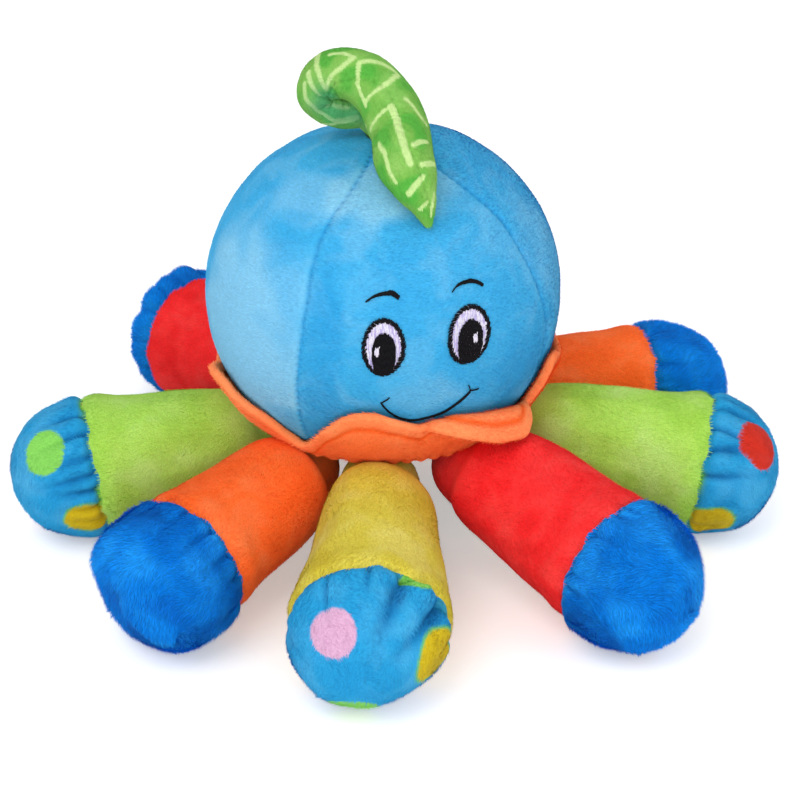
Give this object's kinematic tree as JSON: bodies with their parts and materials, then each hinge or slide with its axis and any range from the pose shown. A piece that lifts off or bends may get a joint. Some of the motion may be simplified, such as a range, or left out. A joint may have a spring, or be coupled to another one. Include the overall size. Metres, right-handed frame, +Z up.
{
  "type": "plush octopus",
  "caption": "Stuffed toy octopus with a ball head, embroidered face, curled stalk, scalloped collar and splayed legs with padded feet.",
  "frame": {"origin": "middle of the toy's footprint, on the surface that its feet stand on", "axes": "+Z up; the face looks along -Y; +X to the viewer's right"},
  "size_m": [0.331, 0.3215, 0.2192],
  "materials": {
    "blue_plush": "short brushed pile",
    "orange_plush": "short brushed pile",
    "yellow_plush": "short brushed pile",
    "red_plush": "short brushed pile",
    "lime_plush": "short brushed pile",
    "light_blue_dotted_plush": "short pile with printed dots",
    "royal_blue_fur": "longer brushed fur",
    "green_print": "printed short pile",
    "filling": "matte loose fibre",
    "black_thread": "satin stitch",
    "white_thread": "satin stitch"
  },
  "bodies": {
    "head": {"head_panel_front": "blue_plush", "head_panel_right": "blue_plush", "head_panel_back": "blue_plush", "head_panel_left": "blue_plush", "underside_panel": "blue_plush", "head_filling": "filling", "collar": "orange_plush", "left_eye_outline": "black_thread", "left_eye_white": "white_thread", "left_pupil": "black_thread", "left_glint": "white_thread", "left_brow": "black_thread", "right_eye_outline": "black_thread", "right_eye_white": "white_thread", "right_pupil": "black_thread", "right_glint": "white_thread", "right_brow": "black_thread", "smile": "black_thread"},
    "front_leg": {"front_leg_cover": "yellow_plush", "front_foot_cover": "light_blue_dotted_plush", "front_leg_filling": "filling"},
    "front_right_leg": {"front_right_leg_cover": "red_plush", "front_right_foot_cover": "royal_blue_fur", "front_right_leg_filling": "filling"},
    "right_leg": {"right_leg_cover": "lime_plush", "right_foot_cover": "light_blue_dotted_plush", "right_leg_filling": "filling"},
    "back_right_leg": {"back_right_leg_cover": "orange_plush", "back_right_foot_cover": "royal_blue_fur", "back_right_leg_filling": "filling"},
    "back_leg": {"back_leg_cover": "yellow_plush", "back_foot_cover": "light_blue_dotted_plush", "back_leg_filling": "filling"},
    "back_left_leg": {"back_left_leg_cover": "red_plush", "back_left_foot_cover": "royal_blue_fur", "back_left_leg_filling": "filling"},
    "left_leg": {"left_leg_cover": "lime_plush", "left_foot_cover": "light_blue_dotted_plush", "left_leg_filling": "filling"},
    "front_left_leg": {"front_left_leg_cover": "orange_plush", "front_left_foot_cover": "royal_blue_fur", "front_left_leg_filling": "filling"},
    "stalk": {"stalk_cover": "green_print", "stalk_filling": "filling"}
  },
  "joints": [
    {"name": "front_leg_hinge", "type": "hinge", "parent": "head", "child": "front_leg", "pos_m": [-0.01878, -0.04791, 0.042], "axis": [-0.9583, 0.2857, 0], "range_deg": [-30, 12], "stiffness_Nm_per_rad": 0.4, "springref_deg": -2.29},
    {"name": "front_right_leg_hinge", "type": "hinge", "parent": "head", "child": "front_right_leg", "pos_m": [0.02176, -0.04653, 0.04476], "axis": [-0.8598, -0.5107, 0], "range_deg": [-30, 12], "stiffness_Nm_per_rad": 0.4, "springref_deg": -2.29},
    {"name": "right_leg_hinge", "type": "hinge", "parent": "head", "child": "right_leg", "pos_m": [0.04776, -0.01384, 0.04476], "axis": [-0.3672, -0.9301, 0], "range_deg": [-30, 12], "stiffness_Nm_per_rad": 0.4, "springref_deg": -2.29},
    {"name": "back_right_leg_hinge", "type": "hinge", "parent": "head", "child": "back_right_leg", "pos_m": [0.0405, 0.02626, 0.04244], "axis": [-0.0147, -0.9999, 0], "range_deg": [-30, 12], "stiffness_Nm_per_rad": 0.4, "springref_deg": -2.29},
    {"name": "back_leg_hinge", "type": "hinge", "parent": "head", "child": "back_leg", "pos_m": [0.00906, 0.04917, 0.04111], "axis": [0.9034, -0.4287, 0], "range_deg": [-30, 12], "stiffness_Nm_per_rad": 0.4, "springref_deg": -2.29},
    {"name": "back_left_leg_hinge", "type": "hinge", "parent": "head", "child": "back_left_leg", "pos_m": [-0.02848, 0.04411, 0.04051], "axis": [0.909, 0.4167, 0], "range_deg": [-30, 12], "stiffness_Nm_per_rad": 0.4, "springref_deg": -2.29},
    {"name": "left_leg_hinge", "type": "hinge", "parent": "head", "child": "left_leg", "pos_m": [-0.05186, 0.01472, 0.04051], "axis": [0.0493, 0.9988, 0], "range_deg": [-30, 12], "stiffness_Nm_per_rad": 0.4, "springref_deg": -2.29},
    {"name": "front_left_leg_hinge", "type": "hinge", "parent": "head", "child": "front_left_leg", "pos_m": [-0.04761, -0.02259, 0.04051], "axis": [-0.635, 0.7725, 0], "range_deg": [-30, 12], "stiffness_Nm_per_rad": 0.4, "springref_deg": -2.29},
    {"name": "stalk_hinge", "type": "hinge", "parent": "head", "child": "stalk", "pos_m": [-0.0047, 0.0012, 0.1848], "axis": [-0.969, 0.247, 0], "range_deg": [0, 40], "stiffness_Nm_per_rad": 0.02}
  ]
}
